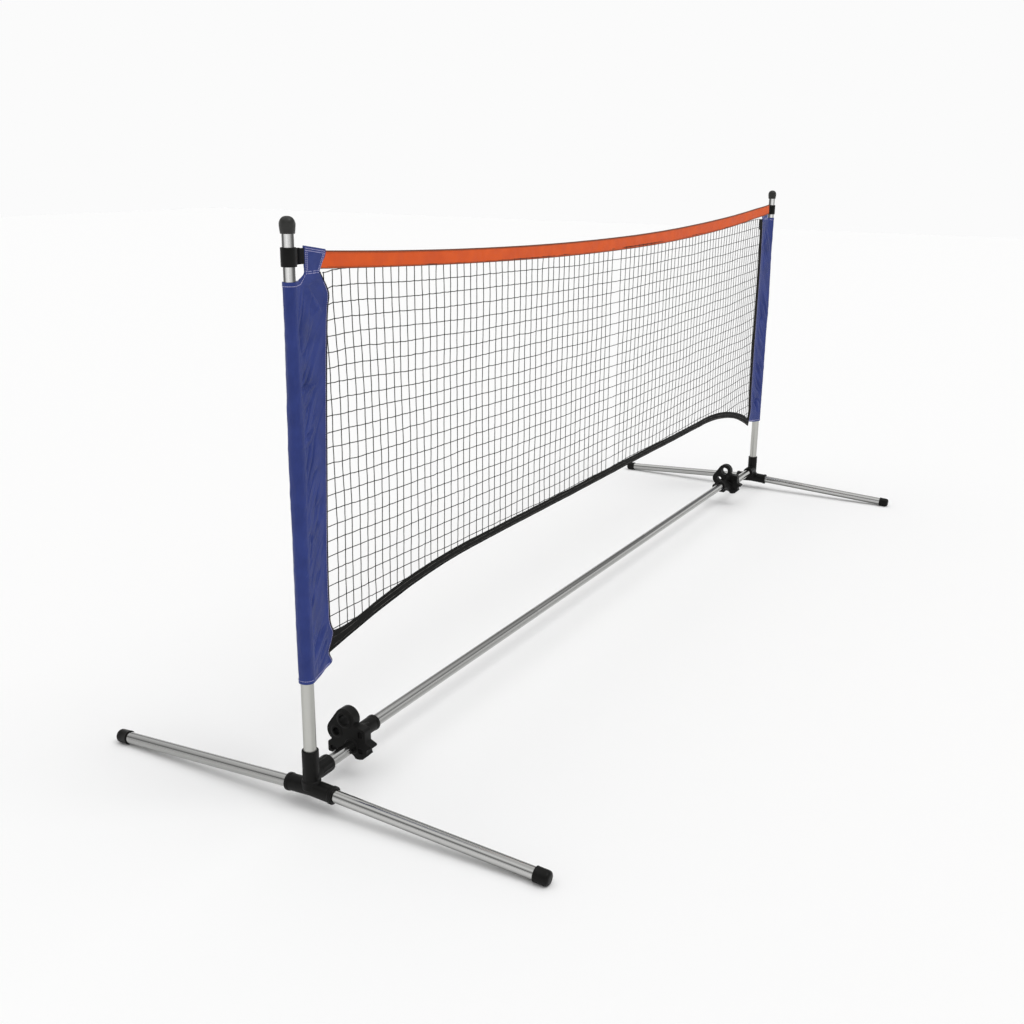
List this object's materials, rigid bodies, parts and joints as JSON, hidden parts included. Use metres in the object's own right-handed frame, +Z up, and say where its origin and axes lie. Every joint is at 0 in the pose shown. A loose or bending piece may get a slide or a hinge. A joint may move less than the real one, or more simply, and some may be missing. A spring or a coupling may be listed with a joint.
{
  "type": "portable multisport net",
  "caption": "Portable multisport net: square mesh between an orange top tape and a black bottom tape, laced to blue sleeves on telescopic posts with a sectional floor bar.",
  "frame": {"origin": "on the floor, midway between the two posts", "axes": "+X along the net from the left post to the right one, +Y from the front feet to the rear feet, +Z up"},
  "size_m": [4.1572, 1.5818, 1.688],
  "materials": {
    "tube_steel": "satin, lightly drawn lengthwise",
    "post_steel": "matte grey, lengthwise drawing marks",
    "black_plastic": "semi-matte moulded",
    "natural_plastic": "matte moulded",
    "blue_nylon": "woven nylon with double stitching",
    "dark_webbing": "woven webbing",
    "orange_tape": "folded woven tape, stitched",
    "black_tape": "folded woven tape, stitched",
    "net_cord": "twisted cord"
  },
  "bodies": {
    "base": {"left_front_foot_tube": "tube_steel", "left_rear_foot_tube": "tube_steel", "left_front_foot_cap": "black_plastic", "left_rear_foot_cap": "black_plastic", "left_base_tee": "black_plastic", "left_rail_tube": "tube_steel", "left_clip_bracket": "black_plastic", "left_lower_post": "post_steel", "left_post_bush": "black_plastic", "right_front_foot_tube": "tube_steel", "right_rear_foot_tube": "tube_steel", "right_front_foot_cap": "black_plastic", "right_rear_foot_cap": "black_plastic", "right_base_tee": "black_plastic", "right_rail_tube": "tube_steel", "right_clip_bracket": "black_plastic", "right_lower_post": "post_steel", "right_post_bush": "black_plastic", "left_bar_tube": "tube_steel", "middle_bar_tube": "tube_steel", "right_bar_tube": "tube_steel", "left_bar_ferrule": "tube_steel", "right_bar_ferrule": "tube_steel"},
    "left_mast": {"left_upper_post": "post_steel", "left_glide_bush": "natural_plastic", "left_dome_cap": "black_plastic", "left_net_collar": "black_plastic", "left_net_strap": "dark_webbing", "left_sleeve": "blue_nylon", "left_header": "blue_nylon", "right_net_strap": "dark_webbing", "right_sleeve": "blue_nylon", "right_header": "blue_nylon", "top_band": "orange_tape", "bottom_band": "black_tape", "net": "net_cord"},
    "right_mast": {"right_upper_post": "post_steel", "right_glide_bush": "natural_plastic", "right_dome_cap": "black_plastic", "right_net_collar": "black_plastic"},
    "left_lock": {"left_lock_ring": "black_plastic"},
    "right_lock": {"right_lock_ring": "black_plastic"}
  },
  "joints": [
    {"name": "left_post_height", "type": "slide", "parent": "base", "child": "left_mast", "axis": [0, 0, 1], "range_m": [-0.2, 0]},
    {"name": "right_post_height", "type": "slide", "parent": "base", "child": "right_mast", "axis": [0, 0, 1], "range_m": [-0.2, 0]},
    {"name": "left_lock_twist", "type": "hinge", "parent": "base", "child": "left_lock", "pos_m": [-2.05, 0, 0.7], "axis": [0, 0, 1], "range_deg": [0, 90]},
    {"name": "right_lock_twist", "type": "hinge", "parent": "base", "child": "right_lock", "pos_m": [2.05, 0, 0.7], "axis": [0, 0, 1], "range_deg": [0, 90]}
  ],
  "couplings": [
    {"joint": "right_post_height", "follows": "left_post_height", "ratio": 1}
  ]
}
